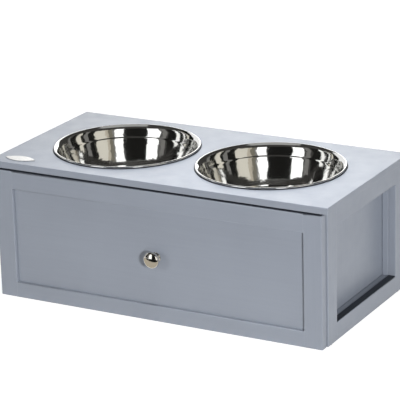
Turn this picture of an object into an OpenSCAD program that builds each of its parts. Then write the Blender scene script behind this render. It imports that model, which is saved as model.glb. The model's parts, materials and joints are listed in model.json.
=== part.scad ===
// Raised feeding table for a dog: two steel bowls in a top board, over one wide drawer.
// X runs along the drawer front, -Y faces the user, Z is up. The floor is at Z = 0.

/* [Overall] */
// Width of the top board
table_w = 600; // [560:1:700]
// Depth of the top board
table_d = 301; // [290:1:380]
// Height of the top board's upper face over the floor
table_h = 231; // [222:1:320]
// Thickness of the top board
board_t = 11; // [8:0.5:18]

/* [Case] */
// How far the top board reaches past each side frame
end_overhang = 8; // [0:0.5:20]
// Gap between the back of the drawer front and the case's front edges
case_gap = 1.5; // [1:0.1:4]
// Thickness of each of the two layers of a side frame
side_layer_t = 12; // [8:0.5:18]
// Thickness of the panel behind a side frame
side_panel_t = 5; // [3:0.5:9]
// Width of a side frame's front stile
front_stile_w = 32; // [25:1:60]
// Width of a side frame's back stile
back_stile_w = 33; // [25:1:60]
// Height of a side frame's top rail
side_top_rail_h = 33; // [20:1:60]
// Height of a side frame's bottom rail
side_bottom_rail_h = 29.5; // [15:0.5:50]
// Thickness of the rails across the front and back
cross_rail_t = 16; // [10:0.5:17]
// Height of the rails across the front and back, under the top board
cross_top_rail_h = 20; // [12:1:30]
// Height of the rails across the front and back, near the floor
cross_bottom_rail_h = 18; // [12:1:20]
// Thickness of the back panel
back_panel_t = 5; // [3:0.5:8]
// Thickness of the dust panel under the drawer
dust_panel_t = 4; // [3:0.5:6]
// Side of the square glue blocks under the top board
block_size = 18; // [10:1:20]
// Length of the glue blocks
block_len = 36; // [20:1:40]
// Thickness of the rubber foot pads
foot_t = 2; // [1:0.5:5]
// Diameter of the rubber foot pads
foot_d = 20; // [12:1:24]

/* [Drawer front] */
// Thickness of the drawer front's frame
front_t = 14.5; // [13:0.5:19]
// How far the drawer front's face stands before the top board's front edge
front_proud = 0; // [0:0.1:12]
// Gap between the top board and the drawer front
front_top_gap = 3.7; // [1:0.1:6]
// Gap between the drawer front and the floor
front_floor_gap = 2; // [0.8:0.1:6]
// How far the drawer front's ends stand inside the side frames' outer faces
front_end_inset = 2.2; // [0:0.1:4]
// Width of the drawer front's stiles
front_frame_stile_w = 31; // [20:1:50]
// Height of the drawer front's upper rail
front_upper_rail_h = 30; // [20:1:50]
// Height of the drawer front's lower rail
front_lower_rail_h = 26; // [20:1:50]
// Depth of the drawer front's panel behind its frame
front_recess = 5.5; // [3:0.5:7]
// Thickness of the tongue round the drawer front's panel
tongue_t = 4; // [3:0.5:6]
// How far that tongue reaches into the frame
tongue_reach = 6; // [4:0.5:9]
// Diameter of the bumpers between the drawer front and the case
bumper_d = 10; // [6:0.5:12]

/* [Drawer box] */
// Gap between the drawer box and the back panel
box_back_gap = 19; // [4:1:60]
// Gap between the drawer box and the bowls over it
box_bowl_gap = 18; // [4:1:60]
// Height of the drawer box's lower edge over the case's lower edge
box_rise = 24; // [22:1:30]
// Thickness of the drawer box's walls
box_wall_t = 12; // [9:0.5:18]
// Thickness of the drawer box's bottom
box_floor_t = 4; // [3:0.5:6]
// Height of that bottom over the box's lower edge
box_floor_rise = 8; // [6:0.5:14]
// How far that bottom reaches into the walls
box_floor_reach = 5; // [3:0.5:7]

/* [Drawer slides] */
// Gap between the slides and the back panel
slide_back_gap = 13; // [4:1:60]
// Height of the slides
slide_h = 45; // [35:0.5:52]
// Space that a slide takes between the case and the drawer box
slide_t = 12.7; // [12.7:0.1:14]
// Height of the slides' middle over the box's lower edge
slide_rise = 48; // [38:1:60]
// Thickness of the slides' steel
slide_steel_t = 1.2; // [0.8:0.1:1.6]
// Running gap between two members of a slide
slide_gap = 0.5; // [0.3:0.1:0.8]
// How far the case's front edges stand before the slides
slide_setback = 2; // [1:0.5:4]

/* [Bowls] */
// Outer diameter of a bowl's rolled rim
bowl_rim_d = 240; // [220:1:250]
// Diameter of the rolled bead of the rim
rim_bead_d = 3.6; // [3:0.1:8]
// Depth of a bowl below the top board's upper face
bowl_depth = 68; // [50:1:72]
// Diameter of a bowl's flat floor
bowl_floor_d = 164; // [120:1:180]
// Height of the soft bend round a bowl's floor
bowl_bend = 11; // [6:0.5:16]
// Thickness of a bowl's steel
bowl_wall_t = 1; // [0.6:0.1:1.5]
// Depth of the step that runs round the inside of a bowl
step_depth = 15; // [10:1:25]
// Width of that step
step_w = 2.2; // [1:0.1:4]
// Distance between the bowls' middles
bowl_pitch = 261; // [256:1:270]
// Part of the rim that rests on the top board, at each side
rim_seat = 5; // [4:0.1:7]
// Gap between a bowl's rim and the top board
seat_gap = 0.3; // [0.2:0.1:0.5]

/* [Knob and plate] */
// Diameter of the knob's head
knob_d = 28; // [20:1:36]
// How far the knob stands out of the drawer front's panel
knob_proj = 21; // [16:1:30]
// Diameter of the knob's neck
neck_d = 11; // [9:0.5:14]
// Diameter of the washer plate behind the knob
rose_d = 18; // [15:1:26]
// Thickness of that plate
rose_t = 1.5; // [1:0.1:3]
// Diameter of the knob's screw
screw_d = 4; // [3:0.1:5]
// How far the screw reaches into the knob
screw_bite = 8; // [5:0.5:9]
// Clearance round the screw in the boards that it passes through
screw_play = 0.1; // [0.05:0.05:0.3]
// Length of the blank plate on the top board
plate_len = 55; // [30:1:70]
// Width of the blank plate
plate_w = 24; // [12:1:34]
// Thickness of the blank plate
plate_t = 1; // [0.5:0.1:2]
// Distance from the top board's left edge to the plate's middle
plate_from_left = 44; // [36:1:48]
// Distance from the top board's front edge to the plate's middle
plate_from_front = 24; // [18:1:34]

/* [Hidden] */

paint = "slategray";
raw_wood = "burlywood";
steel = "gainsboro";
zinc = "silver";
soft_black = "dimgray";
$fn = 96;
// Overcut of a tool past the face that it opens
cut = 1;
left = -1;
right = 1;
front = -1;
back = 1;

// Heights
z_case = foot_t;
z_under = table_h - board_t;
z_front_low = front_floor_gap;
z_front_high = z_under - front_top_gap;
z_box = z_case + box_rise;
z_box_floor = z_box + box_floor_rise;
z_slide = z_box + slide_rise;
z_box_top = table_h - bowl_depth - box_bowl_gap;

// Places across the width, measured from the middle
x_side = table_w / 2 - end_overhang;
x_layer = x_side - side_layer_t;
x_panel = x_layer - side_layer_t;
x_clear = x_panel - side_panel_t;
x_box = x_clear - slide_t;
x_box_in = x_box - box_wall_t;
x_front = x_side - front_end_inset;

// Places from front to back: the middle lies between the back edge and the knob's tip
y_back = (table_d + front_proud + knob_proj - front_recess) / 2;
y_board = y_back - table_d;
y_face = y_board - front_proud;
y_front_back = y_face + front_t;
y_case = y_front_back + case_gap;
y_panel = y_face + front_recess;
y_rail_in = y_case + cross_rail_t;
y_back_rail = y_back - cross_rail_t;
y_back_panel = y_back_rail - back_panel_t;
y_box_back = y_back_panel - box_back_gap;
y_slide = y_case + slide_setback;
slide_len = y_back_panel - slide_back_gap - y_slide;
y_bowl = (y_board + y_back) / 2;

// Drawer front's opening
x_field = x_front - front_frame_stile_w;
z_field_low = z_front_low + front_lower_rail_h;
z_field_high = z_front_high - front_upper_rail_h;
z_knob = (z_field_low + z_field_high) / 2;
panel_t = front_t - front_recess;
y_tongue = y_panel + (panel_t - tongue_t) / 2;

// Bowl's outline, measured from the top board's upper face
bead_r = rim_bead_d / 2;
bead_mid_r = bowl_rim_d / 2 - bead_r;
curl_r = bead_r - bowl_wall_t / 2;
hole_r = bowl_rim_d / 2 - rim_seat;
wall_top_r = hole_r - bowl_wall_t - 1;
wall_low_r = bowl_floor_d / 2 + bowl_bend;
wall_slope = (wall_top_r - step_w - wall_low_r) / (bowl_depth - bowl_bend);
step_r = wall_top_r - wall_slope * step_depth;

function curl_point(a) = [bead_mid_r + curl_r * cos(a), seat_gap + bead_r + curl_r * sin(a)];
function bend_point(a) = [
  bowl_floor_d / 2 + bowl_bend * cos(a),
  bowl_bend - bowl_depth + bowl_bend * sin(a)
];
bowl_path = concat(
  [for (a = [-100:20:180]) curl_point(a)],
  [
    [wall_top_r, seat_gap + bowl_wall_t],
    [step_r, -step_depth],
    [step_r - step_w, -step_depth - step_w]
  ],
  [for (a = [0:-15:-90]) bend_point(a)],
  [[0, -bowl_depth]]
);

// Direction square to a path at one of its points
function step_of(path, i) = path[min(i + 1, len(path) - 1)] - path[max(i - 1, 0)];
function square_to(path, i) = let (d = step_of(path, i)) [-d[1], d[0]] / norm(d);
function sheet_side(path, t) = [for (i = [0:len(path) - 1]) path[i] + square_to(path, i) * t];
function reversed(list) = [for (i = [len(list) - 1:-1:0]) list[i]];

// A board that fills the space between two corners
module board(low, high) {
  translate(low) cube(high - low);
}

// Draws its children on the right, or mirrored on the left
module on_side(side) {
  mirror([side == left ? 1 : 0, 0, 0]) children();
}

// A bent sheet of an even thickness, turned into a round pressing
module turned_sheet(path, t) {
  rotate_extrude() polygon(concat(sheet_side(path, t / 2), reversed(sheet_side(path, -t / 2))));
}

module top_board() {
  color(paint) difference() {
    board([-table_w / 2, y_board, z_under], [table_w / 2, y_back, table_h]);
    for (side = [left, right])
      translate([side * bowl_pitch / 2, y_bowl, z_under - cut])
        cylinder(r = hole_r, h = board_t + 2 * cut);
  }
}

// Two shallow arcs meet at the plate's pointed ends
module blank_plate() {
  arc_r = (pow(plate_len / 2, 2) + pow(plate_w / 2, 2)) / plate_w;
  mid_x = plate_from_left - table_w / 2;
  mid_y = y_board + plate_from_front;
  color(steel) translate([mid_x, mid_y, table_h]) intersection_for(way = [front, back])
    translate([0, way * (arc_r - plate_w / 2), 0]) cylinder(r = arc_r, h = plate_t);
}

module bowl(side) {
  color(steel) translate([side * bowl_pitch / 2, y_bowl, table_h])
    turned_sheet(bowl_path, bowl_wall_t);
}

// Each side frame has two layers of the same outline
module side_front_stile(side, x_out) {
  color(paint) on_side(side) board(
    [x_out - side_layer_t, y_case, z_case],
    [x_out, y_case + front_stile_w, z_under]
  );
}

module side_back_stile(side, x_out) {
  color(paint) on_side(side) board(
    [x_out - side_layer_t, y_back - back_stile_w, z_case],
    [x_out, y_back, z_under]
  );
}

module side_rail(side, x_out, z_low, z_high) {
  color(paint) on_side(side) board(
    [x_out - side_layer_t, y_case + front_stile_w, z_low],
    [x_out, y_back - back_stile_w, z_high]
  );
}

module side_top_rail(side, x_out) side_rail(side, x_out, z_under - side_top_rail_h, z_under);

module side_bottom_rail(side, x_out) side_rail(side, x_out, z_case, z_case + side_bottom_rail_h);

module side_panel(side) {
  color(paint) on_side(side) board([x_clear, y_case, z_case], [x_panel, y_back, z_under]);
}

module cross_rail(y_low, z_low, h) {
  color(paint) board([-x_clear, y_low, z_low], [x_clear, y_low + cross_rail_t, z_low + h]);
}

module back_panel() {
  color(paint) board([-x_clear, y_back_panel, z_case], [x_clear, y_back_rail, z_under]);
}

module dust_panel() {
  z_low = z_case + (cross_bottom_rail_h - dust_panel_t) / 2;
  color(raw_wood) board([-x_clear, y_rail_in, z_low], [x_clear, y_back_panel, z_low + dust_panel_t]);
}

module glue_block(side, end) {
  y_low = end == front ? y_rail_in : y_back_panel - block_len;
  color(raw_wood) on_side(side) board(
    [x_clear - block_size, y_low, z_under - block_size],
    [x_clear, y_low + block_len, z_under]
  );
}

module foot(side, end) {
  y_mid = end == front ? y_case + front_stile_w / 2 : y_back - back_stile_w / 2;
  color(soft_black) translate([side * x_layer, y_mid, 0]) cylinder(d = foot_d, h = foot_t);
}

// A folded steel channel. Its web lies at x_web, and its lips point to x_lip.
module slide_channel(x_web, x_lip, h) {
  x_low = min(x_web, x_lip);
  inner_x = x_lip > x_web ? x_web + slide_steel_t : x_lip - cut;
  inner_w = abs(x_lip - x_web) - slide_steel_t + cut;
  difference() {
    translate([x_low, y_slide, z_slide - h / 2]) cube([abs(x_lip - x_web), slide_len, h]);
    translate([inner_x, y_slide - cut, z_slide - h / 2 + slide_steel_t])
      cube([inner_w, slide_len + 2 * cut, h - 2 * slide_steel_t]);
  }
}

// The three members of a slide nest with the same gap all round
slide_step = slide_steel_t + slide_gap;
case_member_lip = x_box + slide_step + slide_gap;
middle_member_lip = x_box + slide_step;
drawer_member_lip = x_clear - 2 * slide_step;

module slide_case_member(side) {
  color(zinc) on_side(side) slide_channel(x_clear, case_member_lip, slide_h);
}

module slide_middle_member(side) {
  color(zinc) on_side(side)
    slide_channel(x_clear - slide_step, middle_member_lip, slide_h - 2 * slide_step);
}

module slide_drawer_member(side) {
  color(zinc) on_side(side)
    slide_channel(x_box, drawer_member_lip, slide_h - 4 * slide_step);
}

// Groove for the tongue of the drawer front's panel
module panel_groove() {
  board(
    [-x_field - tongue_reach, y_tongue, z_field_low - tongue_reach],
    [x_field + tongue_reach, y_tongue + tongue_t, z_field_high + tongue_reach]
  );
}

module drawer_front_stile(side) {
  color(paint) difference() {
    on_side(side) board([x_field, y_face, z_front_low], [x_front, y_front_back, z_front_high]);
    panel_groove();
  }
}

module drawer_front_rail(z_low, z_high) {
  color(paint) difference() {
    board([-x_field, y_face, z_low], [x_field, y_front_back, z_high]);
    panel_groove();
  }
}

// Clearance hole for the knob's screw, along the drawer's travel
module screw_hole() {
  translate([0, y_panel - cut, z_knob]) rotate([-90, 0, 0])
    cylinder(r = screw_d / 2 + screw_play, h = panel_t + box_wall_t + 2 * cut);
}

module drawer_front_panel() {
  color(paint) difference() {
    union() {
      board([-x_field, y_panel, z_field_low], [x_field, y_front_back, z_field_high]);
      panel_groove();
    }
    screw_hole();
  }
}

// Groove for the drawer box's bottom
module box_floor() {
  board(
    [-x_box_in - box_floor_reach, y_front_back + box_wall_t - box_floor_reach, z_box_floor],
    [x_box_in + box_floor_reach, y_box_back - box_wall_t + box_floor_reach, z_box_floor + box_floor_t]
  );
}

module drawer_wall_side(side) {
  color(raw_wood) difference() {
    on_side(side) board([x_box_in, y_front_back, z_box], [x_box, y_box_back, z_box_top]);
    box_floor();
  }
}

module drawer_wall_end(y_low) {
  color(raw_wood) difference() {
    board([-x_box_in, y_low, z_box], [x_box_in, y_low + box_wall_t, z_box_top]);
    box_floor();
  }
}

module drawer_wall_front() {
  difference() {
    drawer_wall_end(y_front_back);
    screw_hole();
  }
}

module drawer_floor() {
  color(raw_wood) box_floor();
}

// The bumpers stop the drawer front just before the case's front edges
module bumper(side) {
  bumper_t = y_case - y_front_back - seat_gap;
  bumper_z = z_front_high - front_upper_rail_h / 2;
  color(soft_black) translate([side * x_layer, y_front_back, bumper_z]) rotate([-90, 0, 0])
    cylinder(d = bumper_d, h = bumper_t);
}

// Draws a turned piece along the knob's axis, out of the drawer front's panel
module out_of_panel() {
  translate([0, y_panel, z_knob]) rotate([90, 0, 0]) children();
}

// The head is a flat dome over a round edge
module knob() {
  head_edge = knob_proj * 0.68;
  dome_h = knob_proj - head_edge;
  head_r = knob_d / 2;
  flare_h = knob_proj * 0.42;
  edge_r = (head_edge - flare_h) / 2;
  outline = concat(
    [[0, rose_t], [neck_d / 2 + 1, rose_t], [neck_d / 2, rose_t + 1.5], [neck_d / 2, flare_h - 1]],
    [[neck_d / 2 + 1.5, flare_h]],
    [for (a = [-75:15:0]) [head_r - edge_r + edge_r * cos(a), head_edge + edge_r * sin(a)]],
    [for (a = [10:10:90]) [head_r * cos(a), head_edge + dome_h * sin(a)]]
  );
  color(steel) out_of_panel() difference() {
    rotate_extrude() polygon(outline);
    translate([0, 0, rose_t - cut]) cylinder(d = screw_d, h = screw_bite + cut);
  }
}

module knob_rose() {
  color(steel) out_of_panel() difference() {
    cylinder(d = rose_d, h = rose_t);
    translate([0, 0, -cut]) cylinder(r = screw_d / 2 + screw_play, h = rose_t + 2 * cut);
  }
}

module knob_screw() {
  shank_r = screw_d / 2 - 0.05;
  head_h = screw_d * 0.6;
  shank_len = panel_t + box_wall_t + rose_t + screw_bite - 1;
  color(zinc) translate([0, y_front_back + box_wall_t, z_knob]) rotate([90, 0, 0]) {
    cylinder(r = shank_r, h = shank_len);
    translate([0, 0, -head_h]) cylinder(d = screw_d * 2, h = head_h);
  }
}

top_board();
blank_plate();
bowl(left);  // bowl_left
bowl(right);  // bowl_right
side_front_stile(left, x_side);  // side_left_outer_front_stile
side_back_stile(left, x_side);  // side_left_outer_back_stile
side_top_rail(left, x_side);  // side_left_outer_top_rail
side_bottom_rail(left, x_side);  // side_left_outer_bottom_rail
side_front_stile(left, x_layer);  // side_left_inner_front_stile
side_back_stile(left, x_layer);  // side_left_inner_back_stile
side_top_rail(left, x_layer);  // side_left_inner_top_rail
side_bottom_rail(left, x_layer);  // side_left_inner_bottom_rail
side_panel(left);  // side_left_panel
side_front_stile(right, x_side);  // side_right_outer_front_stile
side_back_stile(right, x_side);  // side_right_outer_back_stile
side_top_rail(right, x_side);  // side_right_outer_top_rail
side_bottom_rail(right, x_side);  // side_right_outer_bottom_rail
side_front_stile(right, x_layer);  // side_right_inner_front_stile
side_back_stile(right, x_layer);  // side_right_inner_back_stile
side_top_rail(right, x_layer);  // side_right_inner_top_rail
side_bottom_rail(right, x_layer);  // side_right_inner_bottom_rail
side_panel(right);  // side_right_panel
cross_rail(y_case, z_under - cross_top_rail_h, cross_top_rail_h);  // front_top_rail
cross_rail(y_case, z_case, cross_bottom_rail_h);  // front_bottom_rail
cross_rail(y_back_rail, z_under - cross_top_rail_h, cross_top_rail_h);  // back_top_rail
cross_rail(y_back_rail, z_case, cross_bottom_rail_h);  // back_bottom_rail
back_panel();
dust_panel();
glue_block(left, front);  // block_front_left
glue_block(right, front);  // block_front_right
glue_block(left, back);  // block_back_left
glue_block(right, back);  // block_back_right
foot(left, front);  // foot_front_left
foot(right, front);  // foot_front_right
foot(left, back);  // foot_back_left
foot(right, back);  // foot_back_right
slide_case_member(left);  // slide_left_case_member
slide_middle_member(left);  // slide_left_middle_member
slide_drawer_member(left);  // slide_left_drawer_member
slide_case_member(right);  // slide_right_case_member
slide_middle_member(right);  // slide_right_middle_member
slide_drawer_member(right);  // slide_right_drawer_member
drawer_front_stile(left);  // drawer_front_stile_left
drawer_front_stile(right);  // drawer_front_stile_right
drawer_front_rail(z_field_high, z_front_high);  // drawer_front_rail_top
drawer_front_rail(z_front_low, z_field_low);  // drawer_front_rail_bottom
drawer_front_panel();
drawer_wall_side(left);  // drawer_wall_left
drawer_wall_side(right);  // drawer_wall_right
drawer_wall_front();
drawer_wall_end(y_box_back - box_wall_t);  // drawer_wall_back
drawer_floor();
bumper(left);  // bumper_left
bumper(right);  // bumper_right
knob();
knob_rose();
knob_screw();
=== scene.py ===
import json
from math import cos, pi, radians, sin

import bmesh
import bpy
from mathutils import Matrix, Vector

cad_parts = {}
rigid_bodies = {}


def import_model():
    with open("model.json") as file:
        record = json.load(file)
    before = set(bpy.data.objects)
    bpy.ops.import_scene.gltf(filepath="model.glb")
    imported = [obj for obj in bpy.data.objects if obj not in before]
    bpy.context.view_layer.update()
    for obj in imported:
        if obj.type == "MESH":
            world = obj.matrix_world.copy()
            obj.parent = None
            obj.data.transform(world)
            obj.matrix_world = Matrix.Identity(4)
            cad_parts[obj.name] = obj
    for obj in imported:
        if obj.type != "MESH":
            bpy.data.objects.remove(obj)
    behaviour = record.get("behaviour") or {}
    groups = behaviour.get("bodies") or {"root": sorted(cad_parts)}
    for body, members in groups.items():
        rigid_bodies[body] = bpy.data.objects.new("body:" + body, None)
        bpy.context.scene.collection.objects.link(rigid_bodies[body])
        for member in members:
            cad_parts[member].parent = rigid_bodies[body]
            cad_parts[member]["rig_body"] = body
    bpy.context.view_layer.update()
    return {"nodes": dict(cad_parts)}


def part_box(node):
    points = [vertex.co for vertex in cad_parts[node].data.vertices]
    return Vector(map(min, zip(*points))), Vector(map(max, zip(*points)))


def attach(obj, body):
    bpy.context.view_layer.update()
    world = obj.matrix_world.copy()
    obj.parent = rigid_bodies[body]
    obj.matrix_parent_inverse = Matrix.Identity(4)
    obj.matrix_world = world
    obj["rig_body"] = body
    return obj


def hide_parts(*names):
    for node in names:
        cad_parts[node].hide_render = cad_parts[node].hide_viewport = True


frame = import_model()
scene = bpy.context.scene
scene.view_settings.view_transform = "Standard"

# Camera
# A long lens looks down at the front right corner of the feeder, turned a touch clockwise.
camera_azimuth = radians(29.0)
camera_elevation = radians(18.39)
camera_roll = radians(-1.59)
camera_distance = 3.590
camera_aim = Vector((-0.0213, 0.0488, 0.1421))
camera_lens = 198.12
camera_sensor = 36.0
camera_reach = 50.0

back = Vector((
    sin(camera_azimuth) * cos(camera_elevation),
    -cos(camera_azimuth) * cos(camera_elevation),
    sin(camera_elevation),
))
level_right = Vector((0, 0, 1)).cross(back).normalized()
level_up = back.cross(level_right)
right = level_right * cos(camera_roll) + level_up * sin(camera_roll)
up = level_up * cos(camera_roll) - level_right * sin(camera_roll)
camera = bpy.data.objects.new("camera", bpy.data.cameras.new("camera"))
camera.data.lens = camera_lens
camera.data.sensor_width = camera_sensor
camera.data.clip_end = camera_reach
camera.matrix_world = Matrix.Translation(camera_aim + back * camera_distance) @ Matrix(
    (right, up, back)
).transposed().to_4x4()
scene.collection.objects.link(camera)
scene.camera = camera

# Room and floor
# A plain white room with a white floor. Camera and mirror rays see full white; the light that
# falls on the feeder is softer, and the floor keeps the shadow.
room_light = 0.104
room_colour = (0.97, 0.98, 1.0, 1)
floor_size = 9.0
floor_glow = 0.93
floor_seen = (0.34, 0.34, 0.34, 1)
floor_lit = (0.52, 0.52, 0.52, 1)


def fill(tree, socket, value):
    """Links a socket to an input, or sets the input to a plain value."""
    if isinstance(value, bpy.types.NodeSocket):
        tree.links.new(value, socket)
    else:
        socket.default_value = value


def maths(tree, operation, *values, kind="ShaderNodeMath"):
    """A maths node with its first inputs filled in order."""
    node = tree.nodes.new(kind)
    node.operation = operation
    for socket, value in zip(node.inputs, values):
        fill(tree, socket, value)
    return node


def rays_of(tree, *kinds):
    """A mask that is one for the named kinds of ray and nought for the rest."""
    path = tree.nodes.new("ShaderNodeLightPath")
    mask = path.outputs[kinds[0]]
    for kind in kinds[1:]:
        mask = maths(tree, "MAXIMUM", mask, path.outputs[kind]).outputs[0]
    return mask


def new_object(bm, name, material):
    """Turns a mesh in the making into an object of one material."""
    mesh = bpy.data.meshes.new(name)
    bm.to_mesh(mesh)
    bm.free()
    made = bpy.data.objects.new(name, mesh)
    made.data.materials.append(material)
    scene.collection.objects.link(made)
    return made


room = bpy.data.worlds.new("room")
room.use_nodes = True
scene.world = room
tree = room.node_tree
tree.nodes.clear()
bright = tree.nodes.new("ShaderNodeBackground")
bright.inputs["Color"].default_value = (1, 1, 1, 1)
soft = tree.nodes.new("ShaderNodeBackground")
soft.inputs["Color"].default_value = room_colour
soft.inputs["Strength"].default_value = room_light
mix = tree.nodes.new("ShaderNodeMixShader")
out = tree.nodes.new("ShaderNodeOutputWorld")
seen = rays_of(tree, "Is Camera Ray", "Is Glossy Ray", "Is Transmission Ray")
tree.links.new(seen, mix.inputs["Fac"])
tree.links.new(soft.outputs[0], mix.inputs[1])
tree.links.new(bright.outputs[0], mix.inputs[2])
tree.links.new(mix.outputs[0], out.inputs["Surface"])

floor_paint = bpy.data.materials.new("studio_floor")
floor_paint.use_nodes = True
tree = floor_paint.node_tree
tree.nodes.clear()
matt = tree.nodes.new("ShaderNodeBsdfDiffuse")
matt.inputs["Color"].default_value = floor_lit
shaded = tree.nodes.new("ShaderNodeBsdfDiffuse")
shaded.inputs["Color"].default_value = floor_seen
glow = tree.nodes.new("ShaderNodeEmission")
glow.inputs["Strength"].default_value = floor_glow
glowing = tree.nodes.new("ShaderNodeAddShader")
mix = tree.nodes.new("ShaderNodeMixShader")
out = tree.nodes.new("ShaderNodeOutputMaterial")
tree.links.new(rays_of(tree, "Is Camera Ray", "Is Glossy Ray"), mix.inputs["Fac"])
tree.links.new(shaded.outputs[0], glowing.inputs[0])
tree.links.new(glow.outputs[0], glowing.inputs[1])
tree.links.new(matt.outputs[0], mix.inputs[1])
tree.links.new(glowing.outputs[0], mix.inputs[2])
tree.links.new(mix.outputs[0], out.inputs["Surface"])

bm = bmesh.new()
bmesh.ops.create_grid(bm, x_segments=1, y_segments=1, size=floor_size / 2)
floor = new_object(bm, "studio_floor", floor_paint)

# Lamps
# A key lamp stands at the right front and a weaker one at the left front. Two small ones hang
# over the front edge and the right end of the top, and one lights the back from low down.
lamps_face = Vector((0, 0, 0.11))


def soft_lamp(name, azimuth, elevation, distance, width, height, power):
    """A rectangular lamp on a circle round the feeder, turned to face it."""
    data = bpy.data.lights.new(name, "AREA")
    data.shape = "RECTANGLE"
    data.size = width
    data.size_y = height
    data.energy = power
    lamp = bpy.data.objects.new(name, data)
    a = radians(azimuth)
    e = radians(elevation)
    away = Vector((sin(a) * cos(e), -cos(a) * cos(e), sin(e)))
    lamp.location = lamps_face + away * distance
    lamp.rotation_mode = "QUATERNION"
    lamp.rotation_quaternion = away.to_track_quat("Z", "Y")
    lamp.visible_camera = False
    lamp.visible_glossy = False
    scene.collection.objects.link(lamp)


soft_lamp("lamp_right", 45, 13, 4.2, 0.34, 0.46, 142.0)
soft_lamp("lamp_left", -32, 16, 2.6, 0.24, 0.28, 12.0)
soft_lamp("lamp_over_front", 32, 77, 0.86, 0.25, 0.25, 4.9)
soft_lamp("lamp_over_right", 79, 69, 0.74, 0.22, 0.22, 2.3)
soft_lamp("lamp_behind", 212, 7, 3.2, 0.9, 0.6, 30.0)

# Cards for the mirrors
# Upright cards in black, grey, cream and white stand in a ring, as in a studio for shiny
# metal, under a dark ceiling. Only mirror rays meet them, so they shade nothing else.
card_tones = {
    "black": (0.012, 0.012, 0.011, 1),
    "soot": (0.050, 0.048, 0.045, 1),
    "grey": (0.210, 0.205, 0.195, 1),
    "pearl": (0.420, 0.420, 0.410, 1),
    "cream": (0.760, 0.725, 0.630, 1),
    "white": (1.150, 1.150, 1.120, 1),
    "bright": (1.700, 1.700, 1.680, 1),
    "backdrop": (2.500, 2.500, 2.460, 1),
    "sand": (0.540, 0.490, 0.400, 1),
    "olive": (0.200, 0.185, 0.145, 1),
}
card_paints = {}
for tone, colour in card_tones.items():
    paint = bpy.data.materials.new(f"studio_card_{tone}")
    paint.use_nodes = True
    paint.node_tree.nodes.clear()
    card_shade = paint.node_tree.nodes.new("ShaderNodeEmission")
    card_shade.inputs["Color"].default_value = colour
    card_out = paint.node_tree.nodes.new("ShaderNodeOutputMaterial")
    paint.node_tree.links.new(card_shade.outputs[0], card_out.inputs["Surface"])
    card_paints[tone] = paint


def mirror_card(bm, name, tone):
    """Puts a card's mesh on the stage, seen in reflections only."""
    card = new_object(bm, name, card_paints[tone])
    card.visible_camera = False
    card.visible_diffuse = False
    card.visible_shadow = False
    card.visible_transmission = False


ring_radius = 3.4
ring_foot = -0.05
ring_height = 2.9
card_steps = 6
skylight_radius = 0.95
skylight_drop = 0.05
# Each card spans two angles, counted from the front toward the right, and has one tone.
ring = [
    (-112, -96, "black"), (-96, -91, "cream"), (-91, -86, "black"), (-86, -82, "white"),
    (-82, -73, "black"), (-73, -65, "white"), (-65, -48, "black"), (-48, -44, "soot"),
    (-44, -35, "grey"), (-35, -31, "soot"), (-31, -9, "bright"), (-9, 36, "black"),
    (36, 52, "bright"), (52, 56, "grey"), (56, 63, "olive"), (63, 69, "sand"),
    (69, 91, "cream"), (91, 104, "black"), (104, 112, "grey"), (112, 119, "black"),
    (119, 130, "cream"), (130, 146, "black"), (146, 152, "grey"), (152, 187, "soot"),
    (187, 218, "backdrop"),
]
for number, (start_at, end_at, tone) in enumerate(ring):
    bm = bmesh.new()
    foot = bm.verts.new((0, -ring_radius, ring_foot))
    head = bm.verts.new((0, -ring_radius, ring_height))
    upright = bm.edges.new((foot, head))
    turn = Matrix.Rotation(radians(start_at), 3, "Z")
    bmesh.ops.rotate(bm, cent=(0, 0, 0), matrix=turn, verts=bm.verts)
    bmesh.ops.spin(
        bm, geom=[foot, head, upright], cent=(0, 0, 0), axis=(0, 0, 1), dvec=(0, 0, 0),
        angle=radians(end_at - start_at), steps=card_steps, use_merge=False,
        use_normal_flip=False, use_duplicate=False,
    )
    mirror_card(bm, f"studio_card_{number}", tone)
bm = bmesh.new()
bmesh.ops.create_grid(bm, x_segments=1, y_segments=1, size=ring_radius)
bmesh.ops.translate(bm, vec=(0, 0, ring_height), verts=bm.verts)
mirror_card(bm, "studio_card_ceiling", "soot")
bm = bmesh.new()
bmesh.ops.create_circle(bm, cap_ends=True, segments=48, radius=skylight_radius)
bmesh.ops.translate(bm, vec=(0, 0, ring_height - skylight_drop), verts=bm.verts)
mirror_card(bm, "studio_card_skylight", "pearl")
ground = (
    ("studio_card_near_ground", "sand", 1.2, 0.002, (0.0, -1.36), 0),
    ("studio_card_far_ground", "black", 1.7, 0.004, (0.1, -2.10), 16),
)
for name, tone, half_size, height, spot, degrees in ground:
    bm = bmesh.new()
    bmesh.ops.create_grid(bm, x_segments=1, y_segments=1, size=half_size)
    turn = Matrix.Rotation(radians(degrees), 3, "Z")
    bmesh.ops.rotate(bm, cent=(0, half_size, 0), matrix=turn, verts=bm.verts)
    bmesh.ops.translate(bm, vec=(spot[0], spot[1], height), verts=bm.verts)
    mirror_card(bm, name, tone)

# Top board
# One sheet of fibreboard with two round holes, its edges eased and sprayed with satin
# blue-grey paint like the rest of the case. It is glued and blocked onto the side frames.
paint_colour = (0.262, 0.288, 0.338, 1)
# Paler paint on convex edges: a painted highlight, also standing for paint worn thin there.
worn_highlight_colour = (0.40, 0.43, 0.49, 1)
worn_highlight_share = 0.35
pebble_depth = 0.00006
board_edge_radius = 0.0006
hole_steps = 128
rim_seat = 0.005
sharp_turn = radians(60)


def new_group(name, inputs, outputs):
    """An empty shader group with named sockets, and its two ends."""
    group = bpy.data.node_groups.new(name, "ShaderNodeTree")
    for label, kind, value in inputs:
        socket = group.interface.new_socket(label, in_out="INPUT", socket_type=kind)
        socket.default_value = value
    for label, kind in outputs:
        group.interface.new_socket(label, in_out="OUTPUT", socket_type=kind)
    start = group.nodes.new("NodeGroupInput")
    end = group.nodes.new("NodeGroupOutput")
    return group, start, end


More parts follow.
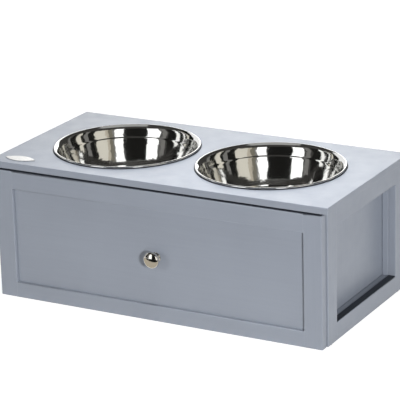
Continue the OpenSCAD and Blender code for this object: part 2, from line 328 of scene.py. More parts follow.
def vector_maths(tree, operation, *values):
    """A vector maths node with its first inputs filled in order."""
    return maths(tree, operation, *values, kind="ShaderNodeVectorMath")


def noise_at(tree, scale, detail, vector, roughness=0.5):
    """A noise texture, read from a vector socket."""
    noise = tree.nodes.new("ShaderNodeTexNoise")
    noise.inputs["Detail"].default_value = detail
    noise.inputs["Roughness"].default_value = roughness
    fill(tree, noise.inputs["Scale"], scale)
    tree.links.new(vector, noise.inputs["Vector"])
    return noise


def ramp_between(tree, value, low, high, to_low, to_high):
    """Maps a value from one range to another, clamped."""
    node = tree.nodes.new("ShaderNodeMapRange")
    node.inputs["From Min"].default_value = low
    node.inputs["From Max"].default_value = high
    fill(tree, node.inputs["To Min"], to_low)
    fill(tree, node.inputs["To Max"], to_high)
    tree.links.new(value, node.inputs["Value"])
    return node.outputs["Result"]


# Convex edges are painted paler: a painted highlight, which also stands for paint worn thin there.
# The mask is where a rounded normal leaves the true one, broken into patches.
worn_edge_highlight, start, end = new_group(
    "worn_edge_highlight",
    [("Radius", "NodeSocketFloat", 0.002), ("Break", "NodeSocketFloat", 60.0)],
    [("Mask", "NodeSocketFloat")],
)
bevel = worn_edge_highlight.nodes.new("ShaderNodeBevel")
bevel.samples = 4
worn_edge_highlight.links.new(start.outputs["Radius"], bevel.inputs["Radius"])
surface = worn_edge_highlight.nodes.new("ShaderNodeNewGeometry")
place = worn_edge_highlight.nodes.new("ShaderNodeTexCoord")
dot = vector_maths(
    worn_edge_highlight, "DOT_PRODUCT", bevel.outputs["Normal"], surface.outputs["Normal"]
)
patches = noise_at(worn_edge_highlight, start.outputs["Break"], 3, place.outputs["Object"])
turned = ramp_between(worn_edge_highlight, dot.outputs["Value"], 0.995, 0.90, 0.0, 1.0)
broken = ramp_between(worn_edge_highlight, patches.outputs["Fac"], 0.35, 0.65, 0.25, 1.0)
both = maths(worn_edge_highlight, "MULTIPLY", turned, broken)
worn_edge_highlight.links.new(both.outputs[0], end.inputs["Mask"])

# A coat of paint: slow changes of tone, faint strokes along the board, a fine pebble in the
# surface and a few dull patches.
paint_coat, start, end = new_group(
    "paint_coat",
    [
        ("Colour", "NodeSocketColor", paint_colour),
        ("Dull", "NodeSocketFloat", 0.46),
        ("Shiny", "NodeSocketFloat", 0.34),
        ("Pebble", "NodeSocketFloat", 620.0),
        ("Strokes", "NodeSocketVector", (200.0, 200.0, 200.0)),
    ],
    [("Colour", "NodeSocketColor"), ("Roughness", "NodeSocketFloat"), ("Height", "NodeSocketFloat")],
)
place = paint_coat.nodes.new("ShaderNodeTexCoord")
slow = noise_at(paint_coat, 7.0, 3, place.outputs["Object"])
pebble = noise_at(paint_coat, start.outputs["Pebble"], 2, place.outputs["Object"])
drift = noise_at(paint_coat, 38.0, 4, place.outputs["Object"], roughness=0.62)
drawn = vector_maths(paint_coat, "MULTIPLY", place.outputs["Object"], start.outputs["Strokes"])
strokes = noise_at(paint_coat, 1.0, 4, drawn.outputs["Vector"], roughness=0.65)
slow_tone = ramp_between(paint_coat, slow.outputs["Fac"], 0.3, 0.7, 0.97, 1.03)
stroke_tone = ramp_between(paint_coat, strokes.outputs["Fac"], 0.25, 0.75, 0.978, 1.022)
tones = maths(paint_coat, "MULTIPLY", slow_tone, stroke_tone)
relief = maths(paint_coat, "MULTIPLY_ADD", strokes.outputs["Fac"], 0.8, pebble.outputs["Fac"])
shift = vector_maths(paint_coat, "SCALE", start.outputs["Colour"])
paint_coat.links.new(tones.outputs[0], shift.inputs["Scale"])
patchy = ramp_between(
    paint_coat, drift.outputs["Fac"], 0.3, 0.7, start.outputs["Shiny"], start.outputs["Dull"]
)
paint_coat.links.new(shift.outputs["Vector"], end.inputs["Colour"])
paint_coat.links.new(patchy, end.inputs["Roughness"])
paint_coat.links.new(relief.outputs[0], end.inputs["Height"])


def new_material(name):
    """A material with only its main shader, and that shader."""
    material = bpy.data.materials.new(name)
    material.use_nodes = True
    return material, material.node_tree, material.node_tree.nodes["Principled BSDF"]


def place_group(tree, group, **values):
    """Puts a shader group into a material with its own values."""
    node = tree.nodes.new("ShaderNodeGroup")
    node.node_tree = group
    for label, value in values.items():
        node.inputs[label].default_value = value
    return node


def bump_from(tree, shader, height, distance):
    """Raises a shader's surface by a height value, over a real distance."""
    bump = tree.nodes.new("ShaderNodeBump")
    bump.inputs["Strength"].default_value = 1.0
    bump.inputs["Distance"].default_value = distance
    tree.links.new(height, bump.inputs["Height"])
    tree.links.new(bump.outputs["Normal"], shader.inputs["Normal"])


def blend_colours(tree, mask, colour_a, colour_b):
    """Mixes two colours, each a value or a socket, by a mask."""
    node = tree.nodes.new("ShaderNodeMix")
    node.data_type = "RGBA"
    tree.links.new(mask, node.inputs["Factor"])
    for label, colour in (("A", colour_a), ("B", colour_b)):
        socket = next(s for s in node.inputs if s.name == label and s.type == "RGBA")
        fill(tree, socket, colour)
    return next(s for s in node.outputs if s.type == "RGBA")


def painted(name, strokes):
    """Satin paint with its strokes along one direction. The convex edges are a little paler: painted
    highlight, with paint worn thin there too.
    """
    material, tree, shader = new_material(name)
    film = place_group(tree, paint_coat, Colour=paint_colour, Strokes=strokes)
    edge_highlight_mask = place_group(tree, worn_edge_highlight, Radius=0.0016, Break=45.0)
    edge_highlight_amount = maths(tree, "MULTIPLY", edge_highlight_mask.outputs["Mask"], worn_highlight_share)
    colour = blend_colours(tree, edge_highlight_amount.outputs[0], film.outputs["Colour"], worn_highlight_colour)
    tree.links.new(colour, shader.inputs["Base Color"])
    tree.links.new(film.outputs["Roughness"], shader.inputs["Roughness"])
    bump_from(tree, shader, film.outputs["Height"], pebble_depth)
    return material


paint_along = (
    painted("satin_paint_lengthways", (7.0, 260.0, 260.0)),
    painted("satin_paint_crossways", (260.0, 7.0, 260.0)),
    painted("satin_paint_upright", (260.0, 260.0, 7.0)),
)


def is_sharp(edge):
    """Whether an edge lies between two faces at a clear corner."""
    return edge.is_manifold and edge.calc_face_angle() > sharp_turn


def rounded(bm, edges, radius, segments=3):
    """Eases some edges of a mesh and shades only the new round smoothly."""
    made = bmesh.ops.bevel(
        bm, geom=edges, offset=radius, offset_type="OFFSET", segments=segments,
        profile=0.5, affect="EDGES", material=-1, clamp_overlap=True,
    )
    for face in made["faces"]:
        face.smooth = True


def raised_by(bm, height):
    """Gives a flat sheet its thickness, upward, and keeps the sheet as its underside."""
    raised = bmesh.ops.extrude_face_region(bm, geom=list(bm.faces), use_keep_orig=True)
    raised_verts = [v for v in raised["geom"] if isinstance(v, bmesh.types.BMVert)]
    bmesh.ops.translate(bm, vec=(0, 0, height), verts=raised_verts)


def finished(bm, node, material):
    """Turns a mesh into the piece that stands for a CAD node and rides on that node's body."""
    piece = new_object(bm, f"{node}_finished", material)
    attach(piece, frame["nodes"][node]["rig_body"])
    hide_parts(node)
    return piece


board_low, board_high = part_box("top_board")
bowl_nodes = ("bowl_left", "bowl_right")
bowl_middles = []
for node in bowl_nodes:
    low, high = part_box(node)
    bowl_middles.append(Vector(((low.x + high.x) / 2, (low.y + high.y) / 2, board_high.z)))
bowl_low, bowl_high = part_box("bowl_left")
bowl_rim_radius = (bowl_high.y - bowl_low.y) / 2
hole_radius = bowl_rim_radius - rim_seat

bm = bmesh.new()
bmesh.ops.create_grid(bm, x_segments=1, y_segments=1, size=0.5)
bmesh.ops.scale(bm, vec=board_high - board_low, verts=bm.verts)
bmesh.ops.translate(bm, vec=(board_low + board_high) / 2, verts=bm.verts)
for vert in bm.verts:
    vert.co.z = board_low.z
bmesh.ops.delete(bm, geom=list(bm.faces), context="FACES_ONLY")
for spot in bowl_middles:
    at_hole = Matrix.Translation((spot.x, spot.y, board_low.z))
    bmesh.ops.create_circle(
        bm, cap_ends=False, segments=hole_steps, radius=hole_radius, matrix=at_hole
    )
bmesh.ops.triangle_fill(bm, use_beauty=True, use_dissolve=False, edges=list(bm.edges))
raised_by(bm, board_high.z - board_low.z)
bmesh.ops.recalc_face_normals(bm, faces=bm.faces)
rounded(bm, [e for e in bm.edges if is_sharp(e)], board_edge_radius)
finished(bm, "top_board", paint_along[0])

# Side frames
# Each side is a panel behind two layers of painted frame. The rails are glued between the
# stiles, so only their long edges are eased, and the stiles stay sharp where a rail meets them.
# A dark strip laid along the lower ledge of each outer frame is painted shade on that ledge.
layer_radius = {"outer": 0.0011, "inner": 0.0020}
sheet_edge_radius = 0.0004
strip_thickness = 0.0012
strip_margin = 0.0006
strip_sunk = 0.0002
strip_round = 0.0003


def board_between(low, high):
    """A plain board that fills the space between two corners."""
    bm = bmesh.new()
    bmesh.ops.create_cube(bm, size=1.0)
    bmesh.ops.scale(bm, vec=high - low, verts=bm.verts)
    bmesh.ops.translate(bm, vec=(low + high) / 2, verts=bm.verts)
    return bm


def plain_board(node, radius, material):
    """A flat board in the space of a CAD node, with all its edges eased alike."""
    bm = board_between(*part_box(node))
    rounded(bm, list(bm.edges), radius)
    finished(bm, node, material)


def runs_along(edge, axis):
    """Whether an edge is parallel to an axis, given as 0, 1 or 2."""
    one, other = (v.co for v in edge.verts)
    return all(abs(one[k] - other[k]) < 1e-7 for k in range(3) if k != axis)


def near(value, target):
    """Whether two lengths are the same but for rounding."""
    return abs(value - target) < 1e-5


def middle_of(edge):
    """The point half way along an edge."""
    return (edge.verts[0].co + edge.verts[1].co) / 2


def eased_rail(node, axis, radius, front_radius=None):
    """A rail with its long edges eased, and perhaps the outermost one at the front more."""
    low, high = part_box(node)
    outer_z = high.z if high.z > board_high.z / 2 else low.z

    def at_outer_front(edge):
        spot = middle_of(edge)
        return front_radius and near(spot.y, low.y) and near(spot.z, outer_z)

    bm = board_between(low, high)
    rounded(bm, [e for e in bm.edges if runs_along(e, axis) and not at_outer_front(e)], radius)
    corner = [e for e in bm.edges if is_sharp(e) and runs_along(e, axis) and at_outer_front(e)]
    if corner:
        rounded(bm, corner, front_radius, segments=5)
    finished(bm, node, paint_along[axis])


def eased_stile(node, across, inner, opening_low, opening_high, radius, front_radius=None):
    """A stile with its outer edges eased. Its inner edges are eased only along the opening."""
    low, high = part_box(node)
    bm = board_between(low, high)
    for height in (opening_low, opening_high):
        everything = list(bm.verts) + list(bm.edges) + list(bm.faces)
        bmesh.ops.bisect_plane(bm, geom=everything, plane_co=(0, 0, height), plane_no=(0, 0, 1))

    def at_inner(edge):
        return near(middle_of(edge)[across], inner)

    def at_front(edge):
        return near(middle_of(edge).y, low.y) and not at_inner(edge)

    def along_opening(edge):
        return runs_along(edge, 2) and opening_low < middle_of(edge).z < opening_high

    if front_radius:
        rounded(bm, [e for e in bm.edges if is_sharp(e) and at_front(e)], front_radius, segments=5)
    free = [e for e in bm.edges if is_sharp(e) and (not at_inner(e) or along_opening(e))]
    rounded(bm, free, radius)
    finished(bm, node, paint_along[2])


def grained(tree, shader, grain, dark, pale, shiny, dull, depth):
    """Lets one grain vary a shader's tone and shine and raise its surface."""
    tree.links.new(blend_colours(tree, grain, dark, pale), shader.inputs["Base Color"])
    tree.links.new(ramp_between(tree, grain, 0.3, 0.7, shiny, dull), shader.inputs["Roughness"])
    bump_from(tree, shader, grain, depth)


def mottled(name, scale, detail, dark, pale, shiny, dull, depth, roughness=0.5):
    """A dull material with one fine grain all through it."""
    material, tree, shader = new_material(name)
    place = tree.nodes.new("ShaderNodeTexCoord")
    grain = noise_at(tree, scale, detail, place.outputs["Object"], roughness)
    grained(tree, shader, grain.outputs["Fac"], dark, pale, shiny, dull, depth)
    return material


# Painted shade: a near-black material for strips laid on ledges and in gaps where shade falls.
painted_shade_dark = mottled(
    "painted_shade_dark", 1400.0, 4, (0.022, 0.026, 0.034, 1), (0.050, 0.057, 0.072, 1),
    0.82, 0.96, 0.0002, roughness=0.7,
)


def painted_shade_strip(name, low, high, body):
    """A narrow dark strip of painted shade, laid down flat, with its corners softened."""
    bm = board_between(low, high)
    rounded(bm, list(bm.edges), strip_round, segments=2)
    strip = new_object(bm, name, painted_shade_dark)
    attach(strip, body)


for side in ("left", "right"):
    for layer, radius in layer_radius.items():
        part = f"side_{side}_{layer}"
        opening_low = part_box(f"{part}_bottom_rail")[1].z
        opening_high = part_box(f"{part}_top_rail")[0].z
        eased_rail(f"{part}_top_rail", 1, radius)
        eased_rail(f"{part}_bottom_rail", 1, radius)
        front_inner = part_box(f"{part}_front_stile")[1].y
        back_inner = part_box(f"{part}_back_stile")[0].y
        eased_stile(f"{part}_front_stile", 1, front_inner, opening_low, opening_high, radius)
        eased_stile(f"{part}_back_stile", 1, back_inner, opening_low, opening_high, radius)
    # Painted shade on the outer frame's lower ledge.
    low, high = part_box(f"side_{side}_outer_bottom_rail")
    painted_shade_strip(
        f"ledge_painted_shade_{side}",
        Vector((low.x + strip_margin, low.y + strip_margin, high.z - strip_sunk)),
        Vector((high.x - strip_margin, high.y - strip_margin, high.z + strip_thickness)),
        "case",
    )
    plain_board(f"side_{side}_panel", sheet_edge_radius, paint_along[2])

# Rails across the case
# Four painted rails tie the sides together at the front and back, under the top board and
# near the floor. The back panel is pinned into them.
for node in ("front_top_rail", "front_bottom_rail", "back_top_rail", "back_bottom_rail"):
    eased_rail(node, 0, layer_radius["outer"])
plain_board("back_panel", sheet_edge_radius, paint_along[0])

# Drawer front
# A painted frame with a flat panel let into a groove behind it. The rails butt against the
# stiles, and the outer edges have a larger round. A dark strip on top is painted shade, for
# the gap under the top board.
outer_round = 0.0013
inner_round = 0.0009
field_round = 0.0005
shade_strip_inset = 0.002

field_low, field_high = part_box("drawer_front_panel")
opening_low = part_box("drawer_front_rail_bottom")[1].z
opening_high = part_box("drawer_front_rail_top")[0].z
for side in ("left", "right"):
    node = f"drawer_front_stile_{side}"
    low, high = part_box(node)
    inner = high.x if side == "left" else low.x
    eased_stile(node, 0, inner, opening_low, opening_high, inner_round, outer_round)
eased_rail("drawer_front_rail_top", 0, inner_round, outer_round)
eased_rail("drawer_front_rail_bottom", 0, inner_round, outer_round)
rail_low, rail_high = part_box("drawer_front_rail_top")
bm = board_between(
    Vector((rail_low.x, field_low.y, opening_low)),
    Vector((rail_high.x, field_high.y, opening_high)),
)
rounded(bm, list(bm.edges), field_round)
finished(bm, "drawer_front_panel", paint_along[0])
# Painted shade in the gap under the top board: a dark strip along the drawer front's top.
stile_low, stile_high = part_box("drawer_front_stile_left")
painted_shade_strip(
    "drawer_front_painted_shade",
    Vector((stile_low.x + shade_strip_inset, stile_low.y + outer_round, stile_high.z - strip_sunk)),
    Vector((-stile_low.x - shade_strip_inset, stile_high.y - strip_margin, stile_high.z + strip_thickness)),
    "drawer",
)

# Bowls
# Deep-drawn stainless bowls, polished bright. Each has a rolled rim that hangs on the top
# board, a stop step a little way down, a sloped wall and a soft bend into a flat floor.
steel_colour = (0.80, 0.80, 0.79, 1)
steel_thickness = 0.001
bead_radius = 0.0018
seat_gap = 0.0003
wall_gap = 0.001
floor_radius = 0.082
bend_radius = 0.011
step_down = 0.015
step_in = 0.0022
spin_steps = 120
# Outward from the wall's top and upward from the board: the shoulder under the rolled rim.
shoulder = ((0.0020, 0.0010), (0.0008, -0.0001), (0.0002, -0.0014))
wall_stations = (0.003, 0.008)

polish_rings, start, end = new_group(
    "polish_rings",
    [("Middle", "NodeSocketVector", (0, 0, 0)), ("Rings", "NodeSocketFloat", 900.0)],
    [("Height", "NodeSocketFloat"), ("Haze", "NodeSocketFloat")],
)
place = polish_rings.nodes.new("ShaderNodeTexCoord")
centred = vector_maths(
    polish_rings, "SUBTRACT", place.outputs["Object"], start.outputs["Middle"]
)
parts = polish_rings.nodes.new("ShaderNodeSeparateXYZ")
flat = polish_rings.nodes.new("ShaderNodeCombineXYZ")
rings_at = polish_rings.nodes.new("ShaderNodeCombineXYZ")
polish_rings.links.new(centred.outputs["Vector"], parts.inputs[0])
polish_rings.links.new(parts.outputs["X"], flat.inputs["X"])
polish_rings.links.new(parts.outputs["Y"], flat.inputs["Y"])
reach = vector_maths(polish_rings, "LENGTH", flat.outputs[0])
polish_rings.links.new(reach.outputs["Value"], rings_at.inputs["X"])
polish_rings.links.new(parts.outputs["Z"], rings_at.inputs["Y"])
fine = noise_at(polish_rings, start.outputs["Rings"], 4, rings_at.outputs[0])
smear = noise_at(polish_rings, 22.0, 4, centred.outputs["Vector"], roughness=0.6)
polish_rings.links.new(fine.outputs["Fac"], end.inputs["Height"])
polish_rings.links.new(smear.outputs["Fac"], end.inputs["Haze"])


def polished_metal(name, colour, middle, shiny, dull, ring_depth, wave_depth):
    """A turned and polished metal, with faint rings round its middle and a slow waviness."""
    material, tree, shader = new_material(name)
    shader.inputs["Metallic"].default_value = 1.0
    rings = place_group(tree, polish_rings, Middle=middle)
    haze = rings.outputs["Haze"]
    dim = tuple(c * 0.93 for c in colour[:3]) + (1,)
    tree.links.new(blend_colours(tree, haze, colour, dim), shader.inputs["Base Color"])
    tree.links.new(ramp_between(tree, haze, 0.3, 0.75, shiny, dull), shader.inputs["Roughness"])
    place = tree.nodes.new("ShaderNodeTexCoord")
    waves = noise_at(tree, 30.0, 3, place.outputs["Object"])
    share = wave_depth / ring_depth
    height = maths(tree, "MULTIPLY_ADD", waves.outputs["Fac"], share, rings.outputs["Height"])
    bump_from(tree, shader, height.outputs[0], ring_depth)
    return material


def arc_points(middle_r, middle_z, radius, start_angle, end_angle, steps):
    """Points on an arc in the plane of radius and height."""
    angles = [start_angle + (end_angle - start_angle) * k / steps for k in range(steps + 1)]
    return [(middle_r + radius * cos(a), middle_z + radius * sin(a)) for a in map(radians, angles)]


def spun(points, steps, smooth=True):
    """Turns an outline of radius and height about the Z axis into a closed-up shell."""
    bm = bmesh.new()
    verts = [bm.verts.new((r, 0, z)) for r, z in points]
    edges = [bm.edges.new(pair) for pair in zip(verts, verts[1:])]
    bmesh.ops.spin(
        bm, geom=verts + edges, cent=(0, 0, 0), axis=(0, 0, 1), dvec=(0, 0, 0),
        angle=2 * pi, steps=steps, use_merge=True, use_normal_flip=False, use_duplicate=False,
    )
    bmesh.ops.remove_doubles(bm, verts=bm.verts, dist=1e-6)
    bmesh.ops.recalc_face_normals(bm, faces=bm.faces)
    for face in bm.faces:
        face.smooth = smooth
    return bm


def subdivided(piece, levels):
    """Softens a turned piece by subdividing it, in the view as in the render."""
    smooth = piece.modifiers.new("smooth", "SUBSURF")
    smooth.levels = levels
    smooth.render_levels = levels


bowl_floor_z = bowl_low.z + steel_thickness / 2 - board_high.z
wall_top_radius = hole_radius - steel_thickness - wall_gap
wall_low_radius = floor_radius + bend_radius
wall_slope = (wall_top_radius - step_in - wall_low_radius) / (-bowl_floor_z - bend_radius)
step_radius = wall_top_radius - wall_slope * step_down
bead_middle = bowl_rim_radius - bead_radius
curl_radius = bead_radius - steel_thickness / 2 - 0.0001
curl = arc_points(bead_middle, seat_gap + bead_radius - 0.00005, curl_radius, -110, 112, 16)
stop_step = [
    (step_radius, -step_down + 0.0012),
    (step_radius - 0.0003, -step_down),
    (step_radius - step_in + 0.0002, -step_down - step_in),
    (step_radius - step_in, -step_down - step_in * 1.5),
]
bend = arc_points(floor_radius, bowl_floor_z + bend_radius, bend_radius, -12, -90, 7)
bowl_outline = (
    curl
    + [(wall_top_radius + out, height) for out, height in shoulder]
    + [(wall_top_radius - wall_slope * down, -down) for down in wall_stations]
    + stop_step
    + [(wall_low_radius + 0.001, bowl_floor_z + bend_radius + 0.004)]
    + bend
    + [(floor_radius * share, bowl_floor_z) for share in (0.66, 0.33, 0)]
)
for node, spot in zip(bowl_nodes, bowl_middles):
    bm = spun(bowl_outline, spin_steps)
    # The bowl's inside has to face up and inward, so a floor that faces down turns them all.
    for face in bm.faces:
        if face.calc_center_median().length < floor_radius and face.normal.z < 0:
            bmesh.ops.reverse_faces(bm, faces=bm.faces)
            break
    bmesh.ops.translate(bm, vec=spot, verts=bm.verts)
    steel = polished_metal(f"{node}_steel", steel_colour, spot, 0.05, 0.12, 0.000004, 0.0007)
    piece = finished(bm, node, steel)
    wall = piece.modifiers.new("wall", "SOLIDIFY")
    wall.thickness = steel_thickness
    wall.offset = 0.0
    subdivided(piece, 1)

# Shadow rings
# A flat dark ring lies round each hole, under the bowl's rim, and stands out a little past
# the rim as a dark line: painted shadow round the rim.
shadow_ring_outer = bowl_rim_radius + 0.0011
shadow_ring_inner = bowl_rim_radius - 0.0042
shadow_ring_thickness = 0.00022
shadow_ring_chamfer = shadow_ring_thickness * 0.2

shadow_ring_dark = mottled(
    "shadow_ring_dark", 180.0, 4, (0.012, 0.012, 0.013, 1), (0.030, 0.030, 0.032, 1),
    0.62, 0.80, 0.00004, roughness=0.6,
)
shadow_ring_outline = [
    (shadow_ring_inner, 0),
    (shadow_ring_inner, shadow_ring_thickness),
    (shadow_ring_outer - shadow_ring_chamfer, shadow_ring_thickness),
    (shadow_ring_outer, shadow_ring_thickness - shadow_ring_chamfer),
    (shadow_ring_outer, 0),
    (shadow_ring_inner, 0),
]
# Painted shadow round each bowl's rim.
for node, spot in zip(bowl_nodes, bowl_middles):
    bm = spun(shadow_ring_outline, spin_steps, smooth=False)
    bmesh.ops.translate(bm, vec=spot, verts=bm.verts)
    shadow_ring = new_object(bm, f"{node}_shadow_ring", shadow_ring_dark)
    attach(shadow_ring, "case")

# Blank plate
# A thin pointed oval of satin steel, glued to the front left of the top board. It is bare.
plate_low, plate_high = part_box("blank_plate")
plate_middle = (plate_low + plate_high) / 2
plate_round = 0.0003
plate_arc_steps = 24
half_length = (plate_high.x - plate_low.x) / 2
half_width = (plate_high.y - plate_low.y) / 2
arc_radius = (half_length ** 2 + half_width ** 2) / (2 * half_width)
half_turn = pi / 2 - Vector((half_length, arc_radius - half_width)).angle(Vector((1, 0)))

brushed_plate, tree, shader = new_material("brushed_plate")
shader.inputs["Metallic"].default_value = 1.0
place = tree.nodes.new("ShaderNodeTexCoord")
stretch = tree.nodes.new("ShaderNodeMapping")
stretch.inputs["Scale"].default_value = (30, 1600, 1600)
tree.links.new(place.outputs["Object"], stretch.inputs["Vector"])
brushing = noise_at(tree, 1.0, 5, stretch.outputs[0], roughness=0.7)
grained(
    tree, shader, brushing.outputs["Fac"], (0.50, 0.50, 0.50, 1), (0.66, 0.66, 0.65, 1),
    0.22, 0.36, 0.00001,
)

bm = bmesh.new()
for way in (1, -1):
    tip = bm.verts.new((way * -half_length, 0, 0))
    bmesh.ops.spin(
        bm, geom=[tip], cent=(0, way * (half_width - arc_radius), 0), axis=(0, 0, 1),
        dvec=(0, 0, 0), angle=-2 * half_turn, steps=plate_arc_steps, use_merge=False,
        use_normal_flip=False, use_duplicate=False,
    )
bmesh.ops.remove_doubles(bm, verts=bm.verts, dist=2e-5)
bmesh.ops.contextual_create(bm, geom=list(bm.edges))
raised_by(bm, plate_high.z - plate_low.z)
bmesh.ops.translate(bm, vec=(plate_middle.x, plate_middle.y, plate_low.z), verts=bm.verts)
bmesh.ops.recalc_face_normals(bm, faces=bm.faces)
upper_rim = [e for e in bm.edges if is_sharp(e) and near(middle_of(e).z, plate_high.z)]
rounded(bm, upper_rim, plate_round, segments=2)
finished(bm, "blank_plate", brushed_plate)

# Knob
# A turned, nickel-plated knob: a flat dome on a waisted neck, over a thin round plate. One
# screw from inside the drawer holds it.
nickel_colour = (0.74, 0.72, 0.68, 1)
knob_low, knob_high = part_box("knob")
rose_low, rose_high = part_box("knob_rose")
knob_middle = (knob_low + knob_high) / 2
panel_face = rose_high.y
knob_radius = (knob_high.x - knob_low.x) / 2
knob_reach = panel_face - knob_low.y
rose_radius = (rose_high.x - rose_low.x) / 2
rose_thickness = rose_high.y - rose_low.y
rose_chamfer = 0.0006
neck_radius = 0.0055
neck_end = knob_reach * 0.40
brow = knob_reach * 0.68
brow_radius = (brow - neck_end - 0.0006) / 2
knob_steps = 64

nickel = polished_metal("polished_nickel", nickel_colour, knob_middle, 0.05, 0.12, 0.000003, 0.0)
# Outward from the neck's radius and along the knob's axis.
neck = (
    (0.0010, rose_thickness),
    (0.0001, rose_thickness + 0.0012),
    (-0.0004, neck_end * 0.6),
    (0.0008, neck_end * 0.88),
)
dome = [
    (knob_radius * cos(a), brow + (knob_reach - brow) * sin(a))
    for a in map(radians, range(15, 90, 15))
]
knob_outline = (
    [(neck_radius + out, along) for out, along in neck]
    + arc_points(knob_radius - brow_radius, brow - 0.0002, brow_radius, -80, 0, 5)
    + dome
    + [(0, knob_reach)]
)
rose_outline = [
    (0, 0),
    (rose_radius - 0.0002, 0),
    (rose_radius, 0.0003),
    (rose_radius, rose_thickness - rose_chamfer),
    (rose_radius - rose_chamfer, rose_thickness),
    (neck_radius, rose_thickness),
    (0, rose_thickness),
]
to_front = Matrix.Rotation(pi / 2, 3, "X")
for node, outline in (("knob", knob_outline), ("knob_rose", rose_outline)):
    bm = spun(outline, knob_steps)
    bmesh.ops.rotate(bm, cent=(0, 0, 0), matrix=to_front, verts=bm.verts)
    bmesh.ops.translate(bm, vec=(knob_middle.x, panel_face, knob_middle.z), verts=bm.verts)
    bmesh.ops.recalc_face_normals(bm, faces=bm.faces)
    piece = finished(bm, node, nickel)
    if node == "knob":
        subdivided(piece, 2)

# Drawer box
# Birch plywood walls with a thin plywood bottom in a groove, clear sealed. The plies show as
# thin dark and light lines along the upper edges.
ply_edge_radius = 0.0008
grain_depth = 0.00008

ply_wood, start, end = new_group(
    "ply_wood",
    [
        ("Light", "NodeSocketColor", (0.62, 0.47, 0.30, 1)),
        ("Dark", "NodeSocketColor", (0.46, 0.32, 0.18, 1)),
        ("Across", "NodeSocketVector", (1, 0, 0)),
        ("Plies", "NodeSocketFloat", 420.0),
        ("Grain", "NodeSocketVector", (60.0, 60.0, 60.0)),
    ],
    [("Colour", "NodeSocketColor"), ("Height", "NodeSocketFloat"), ("Roughness", "NodeSocketFloat")],
)
place = ply_wood.nodes.new("ShaderNodeTexCoord")
stretched = vector_maths(ply_wood, "MULTIPLY", place.outputs["Object"], start.outputs["Grain"])
figure = noise_at(ply_wood, 1.0, 5, stretched.outputs[0], roughness=0.6)
lines = ramp_between(ply_wood, figure.outputs["Fac"], 0.35, 0.68, 0.0, 1.0)
face_colour = blend_colours(ply_wood, lines, start.outputs["Light"], start.outputs["Dark"])
depth = vector_maths(ply_wood, "DOT_PRODUCT", place.outputs["Object"], start.outputs["Across"])
layers = maths(ply_wood, "MULTIPLY", depth.outputs["Value"], start.outputs["Plies"])
swing = maths(ply_wood, "PINGPONG", layers.outputs[0], 1.0)
ply_lines = ramp_between(ply_wood, swing.outputs[0], 0.42, 0.58, 0.0, 1.0)
edge_colour = blend_colours(ply_wood, ply_lines, start.outputs["Light"], start.outputs["Dark"])
surface = ply_wood.nodes.new("ShaderNodeNewGeometry")
facing = ply_wood.nodes.new("ShaderNodeSeparateXYZ")
ply_wood.links.new(surface.outputs["True Normal"], facing.inputs[0])
is_edge = ramp_between(ply_wood, facing.outputs["Z"], 0.6, 0.8, 0.0, 1.0)
ply_colour = blend_colours(ply_wood, is_edge, face_colour, edge_colour)
ply_dulling = ramp_between(ply_wood, figure.outputs["Fac"], 0.3, 0.7, 0.42, 0.58)
ply_wood.links.new(ply_colour, end.inputs["Colour"])
ply_wood.links.new(figure.outputs["Fac"], end.inputs["Height"])
ply_wood.links.new(ply_dulling, end.inputs["Roughness"])


def plywood(name, across, grain):
    """Sealed plywood whose plies lie across one direction, with its grain along another."""
    material, tree, shader = new_material(name)
    wood = place_group(tree, ply_wood, Across=across, Grain=grain)
    tree.links.new(wood.outputs["Colour"], shader.inputs["Base Color"])
    tree.links.new(wood.outputs["Roughness"], shader.inputs["Roughness"])
    bump_from(tree, shader, wood.outputs["Height"], grain_depth)
    return material


along_y = plywood("plywood_walls_sides", (1, 0, 0), (90.0, 6.0, 90.0))
along_x = plywood("plywood_walls_ends", (0, 1, 0), (6.0, 90.0, 90.0))
flat_sheet = plywood("plywood_bottom", (0, 0, 1), (6.0, 90.0, 90.0))
for wall, material in (("left", along_y), ("right", along_y), ("front", along_x), ("back", along_x)):
    plain_board(f"drawer_wall_{wall}", ply_edge_radius, material)
floor_low, floor_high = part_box("drawer_floor")
inside_low = Vector((
    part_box("drawer_wall_left")[1].x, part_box("drawer_wall_front")[1].y, floor_low.z
))
inside_high = Vector((
    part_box("drawer_wall_right")[0].x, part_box("drawer_wall_back")[0].y, floor_high.z
))
bm = board_between(inside_low, inside_high)
finished(bm, "drawer_floor", flat_sheet)

# Dust panel and glue blocks
# A thin hardboard sheet closes the case under the drawer. Softwood blocks are glued into the
# corners under the top board.
hardboard = plywood("hardboard", (0, 0, 1), (45.0, 45.0, 45.0))
blockwood = plywood("block_wood", (0, 0, 1), (120.0, 10.0, 120.0))
plain_board("dust_panel", sheet_edge_radius, hardboard)
for corner in ("front_left", "front_right", "back_left", "back_right"):
    plain_board(f"block_{corner}", ply_edge_radius, blockwood)

# Drawer slides
# Folded steel channels with a bright zinc coat, which is cloudy where the crystals meet. Small
# screws fix them to the drawer, and two rows of pins hold the back panel.
channel_steel = 0.0012
screw_radius = 0.0035
screw_shares = (0.10, 0.48, 0.90)
pin_radius = 0.0016
pin_count = 7
pin_inset = 0.02
head_taper = 0.80
head_height = 0.5
head_rim = 0.42
recess_slope = 0.05
recess_depth = 0.22

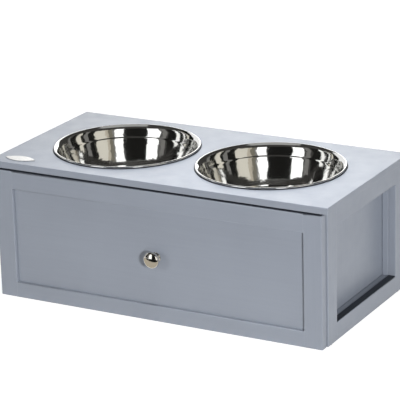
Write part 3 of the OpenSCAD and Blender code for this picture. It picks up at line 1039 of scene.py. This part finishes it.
zinc_coat, tree, shader = new_material("zinc_coat")
shader.inputs["Metallic"].default_value = 1.0
place = tree.nodes.new("ShaderNodeTexCoord")
spangle = tree.nodes.new("ShaderNodeTexVoronoi")
spangle.inputs["Scale"].default_value = 240.0
tree.links.new(place.outputs["Object"], spangle.inputs["Vector"])
cloud = noise_at(tree, 30.0, 4, place.outputs["Object"]).outputs["Fac"]
zinc_tone = blend_colours(tree, cloud, (0.52, 0.54, 0.57, 1), (0.70, 0.71, 0.72, 1))
zinc_dulling = ramp_between(tree, spangle.outputs["Color"], 0.0, 1.0, 0.24, 0.42)
tree.links.new(zinc_tone, shader.inputs["Base Color"])
tree.links.new(zinc_dulling, shader.inputs["Roughness"])
bump_from(tree, shader, cloud, 0.00003)
slide_nodes = [
    f"slide_{side}_{member}_member"
    for side in ("left", "right")
    for member in ("case", "middle", "drawer")
]
for node in slide_nodes + ["knob_screw"]:
    coated = frame["nodes"][node]
    coated.data.materials.clear()
    coated.data.materials.append(zinc_coat)


def pan_head(name, spot, direction, radius, body):
    """A fastener's flat-topped head with a round recess, its flat side on a surface."""
    bm = bmesh.new()
    bmesh.ops.create_cone(
        bm, cap_ends=True, segments=20, radius1=radius, radius2=radius * head_taper,
        depth=radius * head_height,
    )
    bmesh.ops.translate(bm, vec=(0, 0, radius * head_height / 2), verts=bm.verts)
    top = [f for f in bm.faces if f.normal.z > 0.9]
    sunk = bmesh.ops.inset_region(bm, faces=top, thickness=radius * head_rim, depth=0.0)
    centre = [f for f in bm.faces if f.normal.z > 0.9 and f not in sunk["faces"]]
    bmesh.ops.inset_region(
        bm, faces=centre, thickness=radius * recess_slope, depth=-radius * recess_depth
    )
    turn = Vector(direction).to_track_quat("Z", "Y").to_matrix()
    bmesh.ops.rotate(bm, cent=(0, 0, 0), matrix=turn, verts=bm.verts)
    bmesh.ops.translate(bm, vec=spot, verts=bm.verts)
    head = new_object(bm, name, zinc_coat)
    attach(head, body)


for side, way in (("left", -1), ("right", 1)):
    low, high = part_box(f"slide_{side}_drawer_member")
    web = min(abs(low.x), abs(high.x)) + channel_steel
    for number, share in enumerate(screw_shares):
        spot = Vector((way * web, low.y + (high.y - low.y) * share, (low.z + high.z) / 2))
        pan_head(f"slide_screw_{side}_{number + 1}", spot, (way, 0, 0), screw_radius, "drawer")
low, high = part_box("back_panel")
pin_step = (high.x - low.x - 2 * pin_inset) / (pin_count - 1)
for row, height in (("low", low.z + 0.030), ("high", high.z - 0.032)):
    for number in range(pin_count):
        spot = Vector((low.x + pin_inset + pin_step * number, high.y, height))
        pan_head(f"back_pin_{row}_{number + 1}", spot, (0, 1, 0), pin_radius, "case")

# Rubber pads
# Moulded black rubber: four pads glued under the side frames and two bumpers behind the
# drawer front, with softened rims.
moulded_rubber = mottled(
    "moulded_rubber", 900.0, 3, (0.016, 0.016, 0.017, 1), (0.030, 0.030, 0.031, 1),
    0.62, 0.80, 0.00005,
)
pad_round = 0.0005
pad_steps = 48


def rubber_disc(node, axis):
    """A round pad with a softened rim in the space of a CAD node."""
    low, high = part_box(node)
    size = high - low
    bm = bmesh.new()
    bmesh.ops.create_cone(
        bm, cap_ends=True, segments=pad_steps, radius1=size.x / 2, radius2=size.x / 2,
        depth=size[axis],
    )
    if axis == 1:
        bmesh.ops.rotate(bm, cent=(0, 0, 0), matrix=to_front, verts=bm.verts)
    bmesh.ops.translate(bm, vec=(low + high) / 2, verts=bm.verts)
    for face in bm.faces:
        face.smooth = len(face.verts) == 4
    rims = [e for e in bm.edges if is_sharp(e)]
    rounded(bm, rims, min(pad_round, size[axis] * 0.2), segments=2)
    finished(bm, node, moulded_rubber)


for corner in ("front_left", "front_right", "back_left", "back_right"):
    rubber_disc(f"foot_{corner}", 2)
for side in ("left", "right"):
    rubber_disc(f"bumper_{side}", 1)
